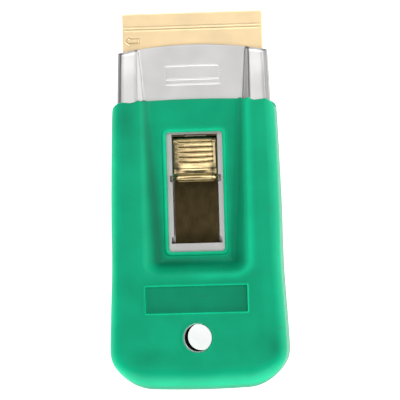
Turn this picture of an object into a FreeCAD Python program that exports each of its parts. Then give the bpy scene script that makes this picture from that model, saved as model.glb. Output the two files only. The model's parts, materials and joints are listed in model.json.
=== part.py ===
import FreeCAD, Part
import os
from math import sqrt

# Retractable blade scraper, in millimetres.
# The scraper lies on its back: +Y towards the blade, +X to the right, +Z up out of the front face.
# A "station" is a distance from the rear end of the grip sleeve, measured towards the blade.
# The origin is at the middle of the overall length and width, on the back face of the sleeve.

V = FreeCAD.Vector

# ---- blade ----
blade_width = 38.1
blade_height = 19.0
blade_thickness = 0.25
blade_exposure = 0.2
edge_bevel = 1.2
edge_land = 0.02
spine_height = 4.6
spine_sheet = 0.35

# ---- blade carrier ----
brass_sheet = 0.5
end_stop = 0.5
blade_end_gap = 0.3
spine_gap = 0.05
carrier_exposed = 8.9
carrier_corner = 0.6
bead_station_back = 3.8
bead_width = 1.1
bead_wall = 0.15
cover_flange = 3.6
carrier_overhang = 2.4
tail_width = 12.4
tail_length = 22.0
tail_corner = 1.0
arrow_length = 3.7
arrow_head = 2.1
arrow_shaft = 1.2
arrow_back = 7.6
arrow_end_gap = 1.0
arrow_line = 0.22
mark_depth = 0.12

# ---- steel casing ----
sheet = 0.8
cavity_height = 3.2
casing_exposed = 15.3
nose_sagitta = 2.0
carrier_side_gap = 0.45
carrier_fit = 0.1
side_taper = 0.029
casing_rear_corner = 9.7
casing_rear_round = 5.4
casing_rear_sagitta = 1.2
casing_rear_clip = 0.3
casing_edge_round = 1.3
plate_fit = 0.05
tab_length = 1.3
tab_root = 1.0
tab_proud = 0.3
exposed_tab_backs = (7.8, 11.5)
covered_tab_stations = (28.0, 58.0)

# ---- shoulders and thumb trough ----
rail_rise = 0.9
wedge_slope = 0.067
trough_half = 15.7
trough_corner = 5.0
trough_floor_corner = 1.2
trough_over = 3.0
trough_end_gap = 9.3
handle_lead = 1.5

# ---- slot and travel ----
slot_front_back = 25.1
slot_length = 30.4
slot_width = 12.8
slot_corner = 0.5
ear_side_gap = 0.2
ear_end_gap = 0.3

# ---- thumb slide ----
slide_side_gap = 0.3
slide_nose_gap = 0.6
slide_rear_gap = 0.3
pad_length = 12.3
pad_rise = 0.9
pad_nose = 1.1
pad_dish = 0.45
pad_dish_length = 1.9
lip_rise = 1.5
lip_length = 1.5
rib_count = 5
rib_pitch = 1.4
rib_height = 0.3
rib_radius = 0.35
rib_inset = 1.0
first_rib_back = 2.2
leaf_gap = 0.1
leaf_overlap = 0.8

# ---- lock spring ----
spring_sheet = 0.3
spring_width = 6.0
spring_root = 3.0
spring_lead = 1.0
spring_tip = 4.0
ear_length = 1.2
ear_width = 0.7
ear_lead = 0.0
ear_side_clear = 0.1
ear_top_gap = 0.15

# ---- rivets ----
rivet_radius = 0.7
head_radius = 1.25
head_height = 0.3
carrier_rivet_pitch = 12.0
spring_rivet_pitch = 3.4
stud_depth = 0.25

# ---- grip sleeve ----
sleeve_length = 81.0
sleeve_wall = 1.7
sleeve_fit = 0.05
sleeve_front_sagitta = 0.8
window_margin_side = 1.5
window_margin_front = 0.6
window_margin_rear = 2.3
window_corner = 0.8
lip_bead_width = 1.1
lip_bead_height = 0.35

# ---- name panel, left blank ----
panel_station = 25.35
panel_width = 29.2
panel_height = 8.1
panel_depth = 0.3
panel_border = 0.4
panel_border_rise = 0.2
panel_corner = 0.5

# ---- hang hole ----
hole_station = 14.6
eyelet_radius = 3.8
eyelet_wall = 0.4
eyelet_flange = 0.9
flange_sheet = 0.3
sleeve_hole_gap = 0.25
flange_fit = 0.1

# ---- places that follow from the sizes above ----
casing_nose = sleeve_length + casing_exposed
casing_corner = casing_nose - nose_sagitta
carrier_nose = casing_nose + carrier_exposed
blade_edge = carrier_nose + blade_exposure
overall_length = blade_edge
casing_rear = sleeve_wall + sleeve_fit
carrier_half = (blade_width + end_stop) / 2 + blade_end_gap
casing_front_half = carrier_half + carrier_side_gap + sheet
slot_front = casing_nose - slot_front_back
slot_rear = slot_front - slot_length
trough_end = slot_rear - trough_end_gap
handle_start = trough_end + handle_lead

back_z = sleeve_wall + sleeve_fit
plate_top = back_z + sheet
channel_under = plate_top + cavity_height
channel_top = channel_under + sheet
handle_top = channel_top + rail_rise + wedge_slope * (casing_corner - handle_start)

carrier_z = plate_top + carrier_fit
base_top = carrier_z + brass_sheet
blade_z = base_top + spine_sheet
blade_top = blade_z + blade_thickness
cover_z = blade_top + spine_sheet
cover_top = cover_z + brass_sheet
blade_back = blade_edge - blade_height
pocket_back = blade_back - spine_sheet - spine_gap
cover_back = pocket_back - cover_flange
head_back = cover_back - carrier_overhang
tail_back = head_back - tail_length
bead_station = carrier_nose - bead_station_back

leaf_top = channel_under - leaf_gap
leaf_z = leaf_top - brass_sheet
slide_half = slot_width / 2 - slide_side_gap
pad_front = slot_front - slide_nose_gap
pad_back = pad_front - pad_length
pad_top = channel_top + pad_rise
lip_top = channel_top + lip_rise
travel = pad_back - slot_rear - slide_rear_gap
leaf_back = slot_rear - leaf_overlap
ear_front = pad_back + ear_lead + ear_length
spring_front = head_back + spring_lead
spring_tip_back = ear_front - ear_length - spring_tip
spring_tip_z = leaf_z - spring_sheet

eyelet_outer = eyelet_radius + eyelet_wall
flange_radius = eyelet_outer + eyelet_flange
sleeve_hole = eyelet_radius + sleeve_hole_gap


def at(station):
    """The Y of a station."""
    return station - overall_length / 2


def casing_half(station):
    """Half the casing's width at a station: it widens evenly from the nose to the rear."""
    return casing_front_half + side_taper * (casing_corner - station)


def shoulder(station):
    """Height of the casing's shoulders at a station, before the handle levels off."""
    return channel_top + rail_rise + wedge_slope * (casing_corner - station)


def line(a, b):
    return Part.LineSegment(a, b).toShape()


def arc(a, through, b):
    return Part.Arc(a, through, b).toShape()


def box(x0, x1, y0, y1, z0, z1):
    return Part.makeBox(x1 - x0, y1 - y0, z1 - z0, V(x0, y0, z0))


def is_upright(edge):
    middle = (edge.FirstParameter + edge.LastParameter) / 2
    return abs(edge.tangentAt(middle).z) > 0.99


def rounded_box(x0, x1, y0, y1, z0, z1, radius):
    """A box whose four upright edges are rounded."""
    solid = box(x0, x1, y0, y1, z0, z1)
    return solid.makeFillet(radius, [e for e in solid.Edges if is_upright(e)])


def cylinder(x, station, z0, z1, radius):
    return Part.makeCylinder(radius, z1 - z0, V(x, at(station), z0))


def prism(points, direction):
    """A closed outline of straight sides, swept along a direction."""
    return Part.Face(Part.makePolygon(points + [points[0]])).extrude(direction)


def plan_prism(grow, front, sagitta, low, high):
    """The casing's outline seen from the front, grown all round and swept upwards.
    Its front edge is an arc, its sides spread towards the rear, and its rear corners are round."""
    rear = casing_rear - grow
    front_half = casing_half(front - sagitta) + grow
    rear_half = casing_half(rear) + grow
    left_front = V(-front_half, at(front - sagitta), low)
    right_front = V(front_half, at(front - sagitta), low)
    right_rear = V(rear_half, at(rear + casing_rear_sagitta), low)
    left_rear = V(-rear_half, at(rear + casing_rear_sagitta), low)
    edges = [
        arc(left_front, V(0, at(front), low), right_front),
        line(right_front, right_rear),
        arc(right_rear, V(0, at(rear), low), left_rear),
        line(left_rear, left_front),
    ]
    solid = Part.Face(Part.Wire(edges)).extrude(V(0, 0, high - low))
    rear_edges = [e for e in solid.Edges if is_upright(e) and e.Vertexes[0].Y < 0]
    return solid.makeFillet(casing_rear_corner + grow, rear_edges)


def side_prism(grow, front):
    """The casing's outline seen from the side, grown all round and swept across the width:
    a wedge that rises from the nose, a level handle, and a round rear end, which runs a little
    past the rear wall so that the two cross at an angle."""
    reach = casing_half(0) * 2
    low = back_z - grow
    top = handle_top + grow
    rear = casing_rear - grow - casing_rear_clip
    radius = casing_rear_round + grow
    centre = V(-reach, at(rear + radius), top - radius)
    nose_foot = V(-reach, at(front), low)
    nose_top = V(-reach, at(front), shoulder(front) + grow)
    level = V(-reach, at(handle_start), top)
    round_top = centre + V(0, 0, radius)
    round_middle = centre + V(0, -radius / sqrt(2), radius / sqrt(2))
    round_end = centre + V(0, -radius, 0)
    rear_foot = V(-reach, at(rear), low)
    edges = [
        line(nose_foot, nose_top),
        line(nose_top, level),
        line(level, round_top),
        arc(round_top, round_middle, round_end),
        line(round_end, rear_foot),
        line(rear_foot, nose_foot),
    ]
    return Part.Face(Part.Wire(edges)).extrude(V(2 * reach, 0, 0))


def casing_form(grow, front, sagitta):
    """The closed outer form of the casing, grown all round, without its trough.
    Its upper side edges are rounded."""
    form = plan_prism(grow, front, sagitta, 0, handle_top * 2)
    form = form.common(side_prism(grow, front + 1))
    half_height = (back_z + handle_top) / 3
    edges = [
        e
        for e in form.Edges
        if not is_upright(e)
        and min(v.Z for v in e.Vertexes) > half_height
        and min(v.X for v in e.Vertexes) * max(v.X for v in e.Vertexes) > 0
    ]
    return form.makeFillet(casing_edge_round + grow, edges)


def trough_outline(half_front, half_end, front, end, corner, height_front, height_end):
    """One level of the trough: straight sides, an open front and a rounded end.
    Heights run evenly from the front to the end."""

    def point(x, station):
        share = (front - station) / (front - end)
        return V(x, at(station), height_front + share * (height_end - height_front))

    turn = corner * (1 - 1 / sqrt(2))
    side = end + corner
    half_side = half_front + (half_end - half_front) * (front - side) / (front - end)
    flat = half_end - corner
    edges = [
        line(point(-half_front, front), point(half_front, front)),
        line(point(half_front, front), point(half_side, side)),
        arc(point(half_side, side), point(half_end - turn, end + turn), point(flat, end)),
        line(point(flat, end), point(-flat, end)),
        arc(point(-flat, end), point(-half_end + turn, end + turn), point(-half_side, side)),
        line(point(-half_side, side), point(-half_front, front)),
    ]
    return Part.Wire(edges)


def trough(grow):
    """The thumb trough as a solid to cut away. Its floor is level, its walls lean out at 45 degrees,
    and its rim keeps one width while the shoulders rise, so the floor narrows towards the handle.
    Growing it by less than nothing makes the trough that fits one wall further in."""
    front = carrier_nose
    lean = (sqrt(2) - 1) * grow
    half = trough_half - lean
    end = trough_end + lean
    floor_end = end + shoulder(end) - channel_top
    floor = channel_top + grow

    def floor_half(station):
        return half - (shoulder(station) - channel_top)

    low = trough_outline(
        floor_half(front),
        floor_half(floor_end),
        front,
        floor_end,
        trough_floor_corner,
        floor,
        floor,
    )
    high = trough_outline(
        half + trough_over,
        half + trough_over,
        front,
        end - trough_over,
        trough_corner + trough_over,
        shoulder(front) + grow + trough_over,
        shoulder(end - trough_over) + grow + trough_over,
    )
    return Part.makeLoft([low, high], True, True)


def make_top_shell():
    """Upper half of the casing: one pressed sheet with shoulders, trough, slot and hang hole."""
    ahead = blade_edge
    outer = casing_form(0, casing_nose, nose_sagitta).cut(trough(0))
    hollow = casing_form(-sheet, ahead, nose_sagitta).cut(trough(-sheet))
    shell = outer.cut(hollow)
    shell = shell.cut(plan_prism(-sheet, ahead, nose_sagitta, 0, plate_top))
    half = slot_width / 2
    low, high = channel_under - 1, channel_top + 1
    shell = shell.cut(
        rounded_box(-half, half, at(slot_rear), at(slot_front), low, high, slot_corner)
    )
    notch_half = ear_outer() + ear_side_gap
    for shift in (0, travel):
        y1 = at(ear_front - shift + ear_end_gap)
        y0 = at(ear_front - shift - ear_length - ear_end_gap)
        shell = shell.cut(box(-notch_half, notch_half, y0, y1, low, high))
    shell = shell.cut(cylinder(0, hole_station, back_z, handle_top + 1, eyelet_outer))
    for side, station, _ in tabs():
        shell = shell.cut(tab(side, station, sheet + 1, plate_fit))
    return shell


def tabs():
    """Side, station and stand-out of each tab that locks the bottom plate into the shell."""
    rows = []
    for side in (-1, 1):
        proud = tab_proud if side < 0 else 0.0
        rows += [(side, casing_nose - back, proud) for back in exposed_tab_backs]
        rows += [(side, station, 0.0) for station in covered_tab_stations]
    return rows


def tab(side, station, reach, gap):
    """One tab of the bottom plate, or, with a gap, the slot that it passes through."""
    inner = casing_half(station) - sheet - tab_root
    outer = casing_half(station) - sheet + reach
    x0, x1 = sorted((side * inner, side * outer))
    half = tab_length / 2 + gap
    return box(x0, x1, at(station - half), at(station + half), back_z - gap, plate_top + gap)


def make_bottom_plate():
    """Lower half of the casing: a flat plate inside the shell's walls, held by its side tabs."""
    plate = plan_prism(-sheet - plate_fit, casing_nose, nose_sagitta, back_z, plate_top)
    for side, station, proud in tabs():
        plate = plate.fuse(tab(side, station, sheet + proud, 0.0))
    plate = plate.cut(cylinder(0, hole_station, 0, plate_top + 1, eyelet_outer))
    return plate.removeSplitter()


def make_hang_eyelet():
    """Tubular rivet that joins both halves of the casing and lines the hang hole."""
    low, high = back_z - flange_sheet, handle_top + flange_sheet
    barrel = cylinder(0, hole_station, low, high, eyelet_outer)
    foot = cylinder(0, hole_station, low, back_z, flange_radius)
    crown = cylinder(0, hole_station, handle_top, high, flange_radius)
    bore = cylinder(0, hole_station, low - 1, high + 1, eyelet_radius)
    return barrel.fuse([foot, crown]).cut(bore)


def add_window(sleeve):
    """Cut the window over the slot, with a bead around it."""
    floor = channel_top + sleeve_fit + sleeve_wall
    x = slot_width / 2 + window_margin_side
    y0 = at(slot_rear - window_margin_rear)
    y1 = at(slot_front + window_margin_front)
    bead = rounded_box(
        -x - lip_bead_width,
        x + lip_bead_width,
        y0 - lip_bead_width,
        y1 + lip_bead_width,
        floor - sleeve_wall / 2,
        floor + lip_bead_height,
        window_corner + lip_bead_width,
    )
    window = rounded_box(-x, x, y0, y1, channel_top - 1, handle_top, window_corner)
    return sleeve.fuse(bead).cut(window)


def add_panel(sleeve):
    """Raise the border of the blank name panel and recess the field inside it."""
    top = handle_top + sleeve_fit + sleeve_wall
    x = panel_width / 2
    y0, y1 = at(panel_station - panel_height / 2), at(panel_station + panel_height / 2)
    border = rounded_box(
        -x, x, y0, y1, top - sleeve_wall / 2, top + panel_border_rise, panel_corner
    )
    b = panel_border
    field = box(-x + b, x - b, y0 + b, y1 - b, top - panel_depth, top + 1)
    return sleeve.fuse(border).cut(field)


def make_grip_sleeve():
    """Soft moulded sleeve over the casing, open at the front, with window, panel and hang hole."""
    outside = sleeve_fit + sleeve_wall
    outer = casing_form(outside, sleeve_length, sleeve_front_sagitta).cut(trough(outside))
    inner = casing_form(sleeve_fit, blade_edge, sleeve_front_sagitta).cut(trough(sleeve_fit))
    sleeve = add_panel(add_window(outer.cut(inner)))
    pocket = flange_radius + flange_fit
    deep = flange_sheet + flange_fit
    holes = [
        cylinder(0, hole_station, -1, handle_top * 2, sleeve_hole),
        cylinder(0, hole_station, back_z - deep, back_z, pocket),
        cylinder(0, hole_station, handle_top, handle_top + deep, pocket),
    ]
    return sleeve.cut(holes).removeSplitter()


def drill(solid, places, low, high):
    for x, station in places:
        solid = solid.cut(cylinder(x, station, low, high, rivet_radius))
    return solid


def carrier_rivet_places():
    station = (cover_back + pocket_back) / 2
    return [(k * carrier_rivet_pitch, station) for k in (-1, 0, 1)]


def spring_rivet_places():
    station = spring_front - spring_root / 2
    return [(k * spring_rivet_pitch / 2, station) for k in (-1, 1)]


def stud_places():
    station = spring_tip_back + spring_tip / 2
    return [(k * spring_rivet_pitch / 2, station) for k in (-1, 1)]


def make_carrier_base():
    """Lower brass plate of the blade carrier: wide head, narrow tail, bead and blade end stop."""
    half = carrier_half
    head = rounded_box(
        -half, half, at(head_back), at(carrier_nose), carrier_z, base_top, carrier_corner
    )
    tail = rounded_box(
        -tail_width / 2,
        tail_width / 2,
        at(tail_back),
        at(cover_back),
        carrier_z,
        base_top,
        tail_corner,
    )
    y0, y1 = at(bead_station - bead_width / 2), at(bead_station + bead_width / 2)
    stop = box(
        -half, -half + end_stop, at(blade_back), at(carrier_nose - carrier_corner), base_top, cover_z
    )
    bead = box(-half + end_stop, half, y0, y1, base_top, blade_z)
    groove = box(
        -half + end_stop,
        half - end_stop,
        y0 + bead_wall,
        y1 - bead_wall,
        carrier_z,
        base_top - bead_wall,
    )
    base = head.fuse([tail, stop, bead]).cut(groove).removeSplitter()
    base = drill(base, carrier_rivet_places(), carrier_z, base_top)
    return drill(base, spring_rivet_places(), carrier_z, base_top)


def arrow_outline(inset, height):
    """Corners of an arrow that points to the closed end of the carrier, drawn inset from its edge."""
    tip = -carrier_half + arrow_end_gap
    neck = tip + arrow_head / 2
    tail = tip + arrow_length - inset
    shaft = arrow_shaft / 2 - inset
    barb = arrow_head / 2 - inset * (1 + sqrt(2))
    y = at(carrier_nose - arrow_back)
    plan = [
        (tip + inset * sqrt(2), 0),
        (neck - inset, barb),
        (neck - inset, shaft),
        (tail, shaft),
        (tail, -shaft),
        (neck - inset, -shaft),
        (neck - inset, -barb),
    ]
    return [V(px, y + py, height) for px, py in plan]


def make_carrier_cover():
    """Upper brass plate of the blade carrier, stepped down behind the blade, with a grooved bead
    across it and an arrow for the way the blade goes in."""
    half = carrier_half
    y0, y1 = at(bead_station - bead_width / 2), at(bead_station + bead_width / 2)
    plate = rounded_box(
        -half,
        half,
        at(pocket_back - brass_sheet),
        at(carrier_nose),
        cover_z,
        cover_top,
        carrier_corner,
    )
    step = box(-half, half, at(pocket_back - brass_sheet), at(pocket_back), base_top, cover_z)
    flange = box(-half, half, at(cover_back), at(pocket_back), base_top, base_top + brass_sheet)
    ridge = box(-half + end_stop, half, y0, y1, blade_top, cover_z)
    groove = box(
        -half, half, y0 + bead_wall, y1 - bead_wall, blade_top + bead_wall, cover_top
    )
    mark = V(0, 0, mark_depth)
    arrow = prism(arrow_outline(0, cover_top - mark_depth), mark)
    arrow_field = prism(arrow_outline(arrow_line, cover_top - mark_depth), mark)
    cover = plate.fuse([step, flange, ridge]).cut([groove, arrow.cut(arrow_field)])
    return drill(cover.removeSplitter(), carrier_rivet_places(), base_top, cover_z)


def rivet(x, station, low, high, head_up):
    """A rivet from low to high, with one head above or below."""
    shank = cylinder(x, station, low, high, rivet_radius)
    if head_up:
        head = cylinder(x, station, high, high + head_height, head_radius)
    else:
        head = cylinder(x, station, low - head_height, low, head_radius)
    return shank.fuse(head).removeSplitter()


def make_carrier_rivets():
    """Three rivets that join the carrier's two plates behind the blade."""
    top = base_top + brass_sheet
    return Part.Compound([rivet(x, s, carrier_z, top, True) for x, s in carrier_rivet_places()])


def make_spring_rivets():
    """Two rivets at the root of the lock spring."""
    top = base_top + spring_sheet
    return Part.Compound([rivet(x, s, carrier_z, top, True) for x, s in spring_rivet_places()])


def make_slide_studs():
    """Two studs that stand in blind holes in the leaf's underside and hold the spring's tip."""
    top = leaf_z + stud_depth
    return Part.Compound([rivet(x, s, spring_tip_z, top, False) for x, s in stud_places()])


def make_blade():
    """Single-edge steel blade, ground on both faces to its cutting edge."""
    x0 = -carrier_half + end_stop + blade_end_gap
    middle = (blade_z + blade_top) / 2
    bevel = blade_edge - edge_bevel
    outline = [
        (blade_back, blade_z),
        (bevel, blade_z),
        (blade_edge, middle - edge_land / 2),
        (blade_edge, middle + edge_land / 2),
        (bevel, blade_top),
        (blade_back, blade_top),
    ]
    return prism([V(x0, at(s), z) for s, z in outline], V(blade_width, 0, 0))


def make_blade_spine():
    """Folded steel strip around the blunt edge of the blade."""
    x0 = -carrier_half + end_stop + blade_end_gap
    x1 = x0 + blade_width
    front = blade_back + spine_height
    strip = box(x0, x1, at(blade_back - spine_sheet), at(front), base_top, cover_z)
    return strip.cut(box(x0, x1, at(blade_back), at(front), blade_z, blade_top))


def make_thumb_slide():
    """Pressed brass slide: nose, ribbed pad, dish, raised rear lip, and a flat leaf that runs on
    under the slot."""
    t = brass_sheet
    nose = pad_nose
    lip = pad_back + lip_length
    dish = lip + pad_dish_length
    skirt = leaf_z + head_height
    upper = [
        (pad_front, skirt),
        (pad_front, pad_top - nose),
        (pad_front - nose * (1 - 1 / sqrt(2)), pad_top - nose * (1 - 1 / sqrt(2))),
        (pad_front - nose, pad_top),
        (dish, pad_top - pad_dish),
        (lip, pad_top),
        ((pad_back + lip) / 2, lip_top),
        (pad_back, lip_top - t / 2),
        (pad_back, leaf_top),
        (leaf_back, leaf_top),
    ]
    lower = [
        (leaf_back, leaf_z),
        (pad_back + t, leaf_z),
        (pad_back + t, pad_top - t),
        (lip, pad_top - 1.2 * t),
        (dish, pad_top - pad_dish - t),
        (pad_front - nose, pad_top - t),
        (pad_front - t, pad_top - nose - t / 2),
        (pad_front - t, skirt),
    ]
    outline = [V(-slide_half, at(s), z) for s, z in upper + lower]
    slide = prism(outline, V(2 * slide_half, 0, 0))
    fall = pad_dish / (pad_front - nose - dish)
    length = 2 * (slide_half - rib_inset)
    for k in range(rib_count):
        back = first_rib_back + k * rib_pitch
        crest = pad_top - fall * (back - nose) + rib_height
        start = V(-length / 2, at(pad_front - back), crest - rib_radius)
        slide = slide.fuse(Part.makeCylinder(rib_radius, length, start, V(1, 0, 0)))
    slide = slide.removeSplitter()
    return drill(slide, stud_places(), leaf_z, leaf_z + stud_depth)


def ear_outer():
    """How far the lock spring's ears reach from the middle."""
    return slide_half + ear_side_clear + ear_width


def make_lock_spring():
    """Steel leaf spring: flat root riveted to the carrier, rising run, and flat tip that carries
    the thumb slide. A crosspiece at the tip has an ear each side, which stands in a notch of
    the slot until the slide is pressed."""
    t = spring_sheet
    root_back = spring_front - spring_root
    profile = [
        (spring_front, base_top + t),
        (root_back, base_top + t),
        (ear_front, spring_tip_z + t),
        (spring_tip_back, spring_tip_z + t),
        (spring_tip_back, spring_tip_z),
        (ear_front, spring_tip_z),
        (root_back, base_top),
        (spring_front, base_top),
    ]
    half = spring_width / 2
    spring = prism([V(-half, at(s), z) for s, z in profile], V(spring_width, 0, 0))
    y0, y1 = at(ear_front - ear_length), at(ear_front)
    reach = ear_outer()
    spring = spring.fuse(box(-reach, reach, y0, y1, spring_tip_z, leaf_z))
    ear_top = channel_top - ear_top_gap
    for side in (-1, 1):
        x0, x1 = sorted((side * reach, side * (reach - ear_width)))
        spring = spring.fuse(box(x0, x1, y0, y1, spring_tip_z, ear_top))
    spring = drill(spring.removeSplitter(), spring_rivet_places(), base_top, base_top + t)
    return drill(spring, stud_places(), spring_tip_z, leaf_z)


PARTS = {
    "grip_sleeve": make_grip_sleeve,
    "top_shell": make_top_shell,
    "bottom_plate": make_bottom_plate,
    "hang_eyelet": make_hang_eyelet,
    "carrier_base": make_carrier_base,
    "carrier_cover": make_carrier_cover,
    "carrier_rivets": make_carrier_rivets,
    "blade": make_blade,
    "blade_spine": make_blade_spine,
    "lock_spring": make_lock_spring,
    "spring_rivets": make_spring_rivets,
    "thumb_slide": make_thumb_slide,
    "slide_studs": make_slide_studs,
}

os.makedirs("parts", exist_ok=True)
for name, make in PARTS.items():
    shape = make()
    shape.exportStep(f"parts/{name}.step")
    b = shape.optimalBoundingBox()
    print(
        f"{name}: solids {len(shape.Solids)}, valid {shape.isValid()}, volume {shape.Volume:.1f}, "
        f"x {b.XMin:.2f}..{b.XMax:.2f}, y {b.YMin:.2f}..{b.YMax:.2f}, z {b.ZMin:.2f}..{b.ZMax:.2f}"
    )
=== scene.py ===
"""Looks of a retractable blade scraper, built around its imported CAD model."""

import json
from math import ceil, cos, radians, sin, sqrt

import bmesh
import bpy
import numpy as np
from bpy.props import FloatProperty, FloatVectorProperty, IntProperty, PointerProperty
from bpy.types import Operator, Panel, PropertyGroup
from mathutils import Matrix, Vector


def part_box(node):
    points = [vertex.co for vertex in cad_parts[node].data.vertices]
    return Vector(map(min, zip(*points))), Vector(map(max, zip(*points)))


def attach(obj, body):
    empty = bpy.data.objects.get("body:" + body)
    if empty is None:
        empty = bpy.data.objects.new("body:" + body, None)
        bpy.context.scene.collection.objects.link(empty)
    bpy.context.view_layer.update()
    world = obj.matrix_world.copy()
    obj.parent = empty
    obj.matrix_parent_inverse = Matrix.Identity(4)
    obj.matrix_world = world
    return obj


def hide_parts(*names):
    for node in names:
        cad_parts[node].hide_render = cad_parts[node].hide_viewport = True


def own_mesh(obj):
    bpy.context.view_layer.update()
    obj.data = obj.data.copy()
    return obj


bl_info = {
    "name": "Blade scraper looks",
    "version": (1, 0, 0),
    "blender": (4, 5, 0),
    "location": "View3D > Sidebar > Scraper",
    "description": "Skins, finishes and stage for a retractable blade scraper",
    "category": "Object",
}

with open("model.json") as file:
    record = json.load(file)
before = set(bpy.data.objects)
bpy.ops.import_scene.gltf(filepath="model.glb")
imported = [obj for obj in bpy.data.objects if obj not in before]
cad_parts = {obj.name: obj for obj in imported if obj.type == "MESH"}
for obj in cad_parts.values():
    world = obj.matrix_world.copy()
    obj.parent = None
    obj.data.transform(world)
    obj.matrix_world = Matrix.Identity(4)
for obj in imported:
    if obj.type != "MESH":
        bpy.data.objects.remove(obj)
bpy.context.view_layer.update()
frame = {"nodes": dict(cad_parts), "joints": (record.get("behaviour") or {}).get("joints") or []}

# Shapes are worked out in millimetres. A station is a distance from the sleeve's rear end
# towards the blade, and place() turns (x, station, z) into metres in the frame.
MM = 0.001


def low(node):
    """Lowest corner of a CAD node, in millimetres."""
    return np.array(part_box(node)[0]) / MM


def high(node):
    """Highest corner of a CAD node, in millimetres."""
    return np.array(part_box(node)[1]) / MM


REAR = low("grip_sleeve")[1]
SLEEVE_LENGTH = high("grip_sleeve")[1] - REAR
CASING_NOSE = high("top_shell")[1] - REAR
CASING_REAR = low("top_shell")[1] - REAR
CASING_LOW = low("top_shell")[2]
HANDLE_TOP = high("top_shell")[2]
CARRIER_NOSE = high("carrier_cover")[1] - REAR
CARRIER_HALF = high("carrier_cover")[0]
COVER_TOP = high("carrier_cover")[2]
COVER_BACK = low("carrier_cover")[1] - REAR
HOLE_STATION = (low("hang_eyelet")[1] + high("hang_eyelet")[1]) / 2 - REAR
PAD_FRONT = high("thumb_slide")[1] - REAR
LEAF_BACK = low("thumb_slide")[1] - REAR
LEAF_LOW = low("thumb_slide")[2]
LIP_TOP = high("thumb_slide")[2]
SLIDE_HALF = high("thumb_slide")[0]

# The casing's form, in millimetres, which the sleeve follows one wall further out.
SHEET = 0.8
SLEEVE_FIT = 0.05
BRASS_SHEET = 0.5
NOSE_SAGITTA = 2.0
REAR_SAGITTA = 1.2
REAR_CORNER = 9.7
REAR_ROUND = 5.4
EDGE_ROUND = 1.3
SIDE_TAPER = 0.029
RAIL_RISE = 0.9
WEDGE_SLOPE = 0.067
TROUGH_HALF = 15.7
TROUGH_CORNER = 5.0
TROUGH_END_GAP = 9.3
SLOT_BACK = 25.1
SLOT_LENGTH = 30.4
SLOT_HALF = 6.4
NOTCH_LENGTH = 1.8
EAR_GAP = 0.3
NOTCH_HALF = 7.1
PAD_LENGTH = 12.3
PAD_TO_EAR = 1.2
CARRIER_GAP = 0.45
TROUGH_RUN_OUT = 1.5

CASING_CORNER = CASING_NOSE - NOSE_SAGITTA
CASING_FRONT_HALF = CARRIER_HALF + CARRIER_GAP + SHEET
SLOT_FRONT = CASING_NOSE - SLOT_BACK
SLOT_REAR = SLOT_FRONT - SLOT_LENGTH
TROUGH_END = SLOT_REAR - TROUGH_END_GAP
WEDGE_LENGTH = CASING_CORNER - TROUGH_END - TROUGH_RUN_OUT
CHANNEL_TOP = HANDLE_TOP - RAIL_RISE - WEDGE_SLOPE * WEDGE_LENGTH
PAD_BACK = PAD_FRONT - PAD_LENGTH
EAR_FRONT = PAD_BACK + PAD_TO_EAR


# ---- settings ----


class SleeveSettings(PropertyGroup):
    """Sizes and colours of the grip sleeve."""

    wall: FloatProperty(
        name="Wall", description="Thickness of the sleeve, in millimetres", default=1.7, min=1.0
    )
    bead_height: FloatProperty(
        name="Bead height", description="Bead round the window, in millimetres", default=0.38
    )
    panel_depth: FloatProperty(
        name="Panel depth", description="Recess of the blank panel, in millimetres", default=0.25
    )
    colour: FloatVectorProperty(
        name="Colour", description="Moulded sleeve", subtype="COLOR", default=(0.002, 0.365, 0.182)
    )
    scuff_colour: FloatVectorProperty(
        name="Scuff colour", description="Scuffed places", subtype="COLOR", default=(0.03, 0.24, 0.13)
    )


class CasingSettings(PropertyGroup):
    """Sizes and colours of the steel casing."""

    nose_bevel: FloatProperty(
        name="Nose bevel", description="Length of the rails' front slope, in millimetres", default=1.3
    )
    colour: FloatVectorProperty(
        name="Colour", description="Plated steel", subtype="COLOR", default=(0.81, 0.797, 0.79)
    )


class CarrierSettings(PropertyGroup):
    """Sizes and colours of the blade carrier."""

    groove_depth: FloatProperty(
        name="Groove depth", description="Depth of the cross groove, in millimetres", default=0.09
    )
    arrow_depth: FloatProperty(
        name="Arrow depth", description="Depth of the stamped arrow, in millimetres", default=0.1
    )
    colour: FloatVectorProperty(
        name="Colour", description="Satin brass", subtype="COLOR", default=(0.95, 0.74, 0.445)
    )


class SlideSettings(PropertyGroup):
    """Sizes and colours of the thumb slide."""

    groove_count: IntProperty(
        name="Grooves", description="Cross grooves in the thumb pad", default=5, min=1, max=8
    )
    groove_depth: FloatProperty(
        name="Groove depth", description="Depth of the pad's grooves, in millimetres", default=0.32
    )
    colour: FloatVectorProperty(
        name="Colour", description="Polished brass", subtype="COLOR", default=(0.52, 0.41, 0.215)
    )


class StageSettings(PropertyGroup):
    """The camera, the lights and the floor."""

    tilt: FloatProperty(
        name="Tilt", description="Camera's lean to the right", subtype="ANGLE", default=radians(5.5)
    )
    roll: FloatProperty(
        name="Roll", description="Turn of the object in the view", subtype="ANGLE", default=radians(1.6)
    )
    view_width: FloatProperty(
        name="View width", description="Width of the view", unit="LENGTH", default=0.1113
    )
    distance: FloatProperty(
        name="Distance", description="From the camera to the object", unit="LENGTH", default=1.1
    )


# ---- surfaces ----


def place(x, station, z):
    """Points in metres in the frame, from x, station and z in millimetres."""
    x, station, z = np.broadcast_arrays(x, station, z)
    return np.stack([x, station + REAR, z], axis=-1).reshape(-1, 3) * MM


def spaced(*turns):
    """Grid line positions in rising order. The numbers take turns: a position that gets a line, as
    the edges of features do, then the widest step on the way to the next position."""
    ends, steps = turns[::2], turns[1::2]
    parts = [np.linspace(a, b, ceil((b - a) / d) + 1)[:-1] for a, b, d in zip(ends, ends[1:], steps)]
    return np.concatenate(parts + [[ends[-1]]])


def mirrored(positions):
    """Positions from zero outwards, repeated on the other side of zero."""
    return np.concatenate([-positions[:0:-1], positions])


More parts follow.
